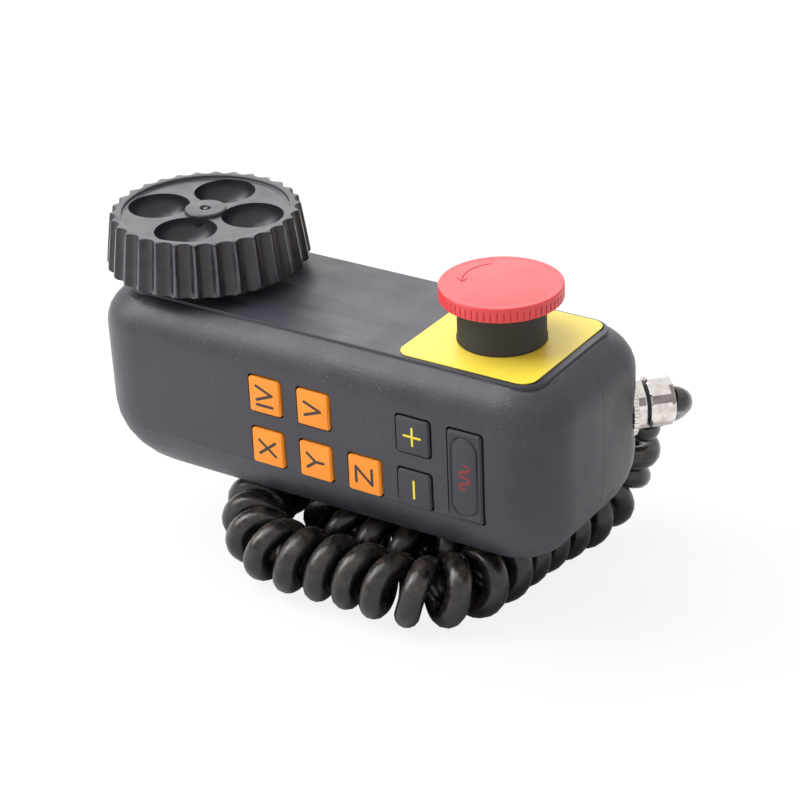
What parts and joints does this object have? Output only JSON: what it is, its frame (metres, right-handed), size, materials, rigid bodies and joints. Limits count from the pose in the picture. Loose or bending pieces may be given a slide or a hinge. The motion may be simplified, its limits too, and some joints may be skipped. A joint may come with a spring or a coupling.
{
  "type": "pulse generator handwheel",
  "caption": "Handheld machine control pendant with a fluted handwheel, mushroom emergency stop, axis keys and a curly cord.",
  "frame": {"origin": "centre of the box round everything but the cord and what is on it", "axes": "+X towards the emergency stop and cable gland, -Y out of the key face, +Z out of the handwheel face"},
  "size_m": [0.2008, 0.1306, 0.1175],
  "materials": {
    "housing_plastic": "fine-textured moulded plastic",
    "panel_plastic": "fine-textured plate",
    "sign_yellow": "satin printed plate",
    "stop_red": "semi-gloss",
    "stop_black": "satin",
    "wheel_plastic": "satin, worn on the flutes",
    "key_orange": "soft matte",
    "key_black": "soft matte",
    "steel": "zinc plated",
    "spring_steel": "bright",
    "aluminium": "satin",
    "nickel_brass": "nickel plated",
    "circuit_board": "lacquered",
    "inner_plastic": "plain",
    "code_glass": "clear with dark marks",
    "seal_rubber": "matte",
    "cord_sheath": "satin polyurethane",
    "insulator": "plain",
    "contact_gold": "gold plated"
  },
  "bodies": {
    "housing": {"front_shell": "housing_plastic", "rear_shell": "housing_plastic", "shell_screws": "steel", "top_panel": "panel_plastic", "panel_screws": "steel", "warning_plate": "sign_yellow", "estop_collar": "stop_black", "estop_nut": "steel", "contact_block": "inner_plastic", "estop_spring": "spring_steel", "encoder_flange": "aluminium", "encoder_bearings": "steel", "encoder_board": "circuit_board", "encoder_can": "inner_plastic", "flange_screws": "steel", "key_board": "circuit_board", "board_screws": "steel", "key_switches": "inner_plastic", "holding_magnets": "steel", "gland_washer": "nickel_brass", "gland_body": "nickel_brass", "gland_seal": "seal_rubber", "gland_nut": "nickel_brass", "gland_locknut": "nickel_brass", "cord_lead": "cord_sheath", "cord_curl": "cord_sheath", "cord_tail": "cord_sheath", "plug_nut": "nickel_brass", "plug_shell": "nickel_brass", "plug_insert": "insulator", "plug_contacts": "contact_gold"},
    "wheel": {"handwheel": "wheel_plastic", "hub_screw": "steel", "encoder_shaft": "steel", "code_disc": "code_glass"},
    "estop_stem": {"estop_plunger": "stop_red"},
    "estop_head": {"mushroom_head": "stop_red"},
    "key_iv_cap": {"key_iv": "key_orange"},
    "key_v_cap": {"key_v": "key_orange"},
    "key_x_cap": {"key_x": "key_orange"},
    "key_y_cap": {"key_y": "key_orange"},
    "key_z_cap": {"key_z": "key_orange"},
    "key_plus_cap": {"key_plus": "key_black"},
    "key_minus_cap": {"key_minus": "key_black"},
    "key_rapid_cap": {"key_rapid": "key_black"}
  },
  "joints": [
    {"name": "wheel_spin", "type": "hinge", "parent": "housing", "child": "wheel", "pos_m": [-0.06, 0, 0.035], "axis": [0, 0, 1], "continuous": true},
    {"name": "estop_push", "type": "slide", "parent": "housing", "child": "estop_stem", "axis": [0, 0, -1], "range_m": [0, 0.004], "stiffness_N_per_m": 3000, "deforming": ["estop_spring"]},
    {"name": "estop_twist", "type": "hinge", "parent": "estop_stem", "child": "estop_head", "pos_m": [0.058, 0, 0.04], "axis": [0, 0, 1], "range_deg": [0, 45], "stiffness_Nm_per_rad": 0.05},
    {"name": "key_iv_press", "type": "slide", "parent": "housing", "child": "key_iv_cap", "axis": [0, 1, 0], "range_m": [0, 0.001], "stiffness_N_per_m": 1500},
    {"name": "key_v_press", "type": "slide", "parent": "housing", "child": "key_v_cap", "axis": [0, 1, 0], "range_m": [0, 0.001], "stiffness_N_per_m": 1500},
    {"name": "key_x_press", "type": "slide", "parent": "housing", "child": "key_x_cap", "axis": [0, 1, 0], "range_m": [0, 0.001], "stiffness_N_per_m": 1500},
    {"name": "key_y_press", "type": "slide", "parent": "housing", "child": "key_y_cap", "axis": [0, 1, 0], "range_m": [0, 0.001], "stiffness_N_per_m": 1500},
    {"name": "key_z_press", "type": "slide", "parent": "housing", "child": "key_z_cap", "axis": [0, 1, 0], "range_m": [0, 0.001], "stiffness_N_per_m": 1500},
    {"name": "key_plus_press", "type": "slide", "parent": "housing", "child": "key_plus_cap", "axis": [0, 1, 0], "range_m": [0, 0.001], "stiffness_N_per_m": 1500},
    {"name": "key_minus_press", "type": "slide", "parent": "housing", "child": "key_minus_cap", "axis": [0, 1, 0], "range_m": [0, 0.001], "stiffness_N_per_m": 1500},
    {"name": "key_rapid_press", "type": "slide", "parent": "housing", "child": "key_rapid_cap", "axis": [0, 1, 0], "range_m": [0, 0.001], "stiffness_N_per_m": 1500}
  ]
}
